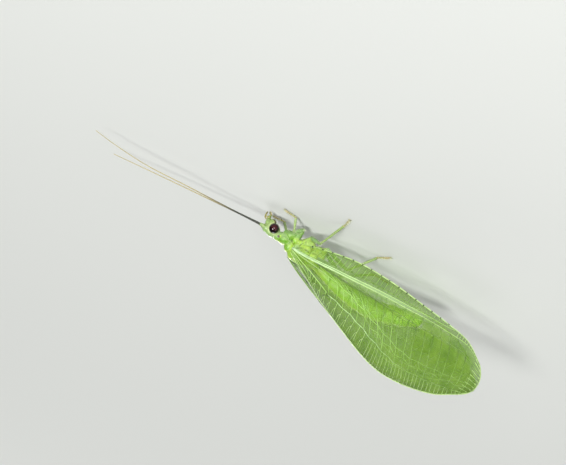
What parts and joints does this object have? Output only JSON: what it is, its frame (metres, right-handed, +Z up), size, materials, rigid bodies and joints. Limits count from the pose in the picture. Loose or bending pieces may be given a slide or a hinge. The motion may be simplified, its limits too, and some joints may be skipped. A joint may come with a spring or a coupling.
{
  "type": "green lacewing",
  "caption": "Still life-size model of a green lacewing at rest on its feet, wings folded like a roof, long feelers stretched forward.",
  "frame": {"origin": "on the floor, under the middle of the span from wing tips to feeler tips", "axes": "+X towards the head, +Z up, the animal's right side towards -Y"},
  "size_m": [0.0359, 0.013, 0.0083],
  "materials": {
    "head_skin": "waxy pale green, slightly translucent",
    "body_skin": "waxy yellow-green, soft sheen",
    "leg": "whitish green with fine hairs, feet light brown",
    "feeler": "straw brown, ringed",
    "eye": "very dark maroon, glossy",
    "wing": "clear film with a green tint and whitish-green veins"
  },
  "bodies": {
    "root": {"head": "head_skin", "eye_right": "eye", "eye_left": "eye", "antenna_right": "feeler", "antenna_left": "feeler", "prothorax": "body_skin", "mesothorax": "body_skin", "metathorax": "body_skin", "abdomen": "body_skin", "forewing_right": "wing", "forewing_left": "wing", "hindwing_right": "wing", "hindwing_left": "wing", "leg_front_right": "leg", "leg_front_left": "leg", "leg_middle_right": "leg", "leg_middle_left": "leg", "leg_hind_right": "leg", "leg_hind_left": "leg"}
  },
  "joints": []
}
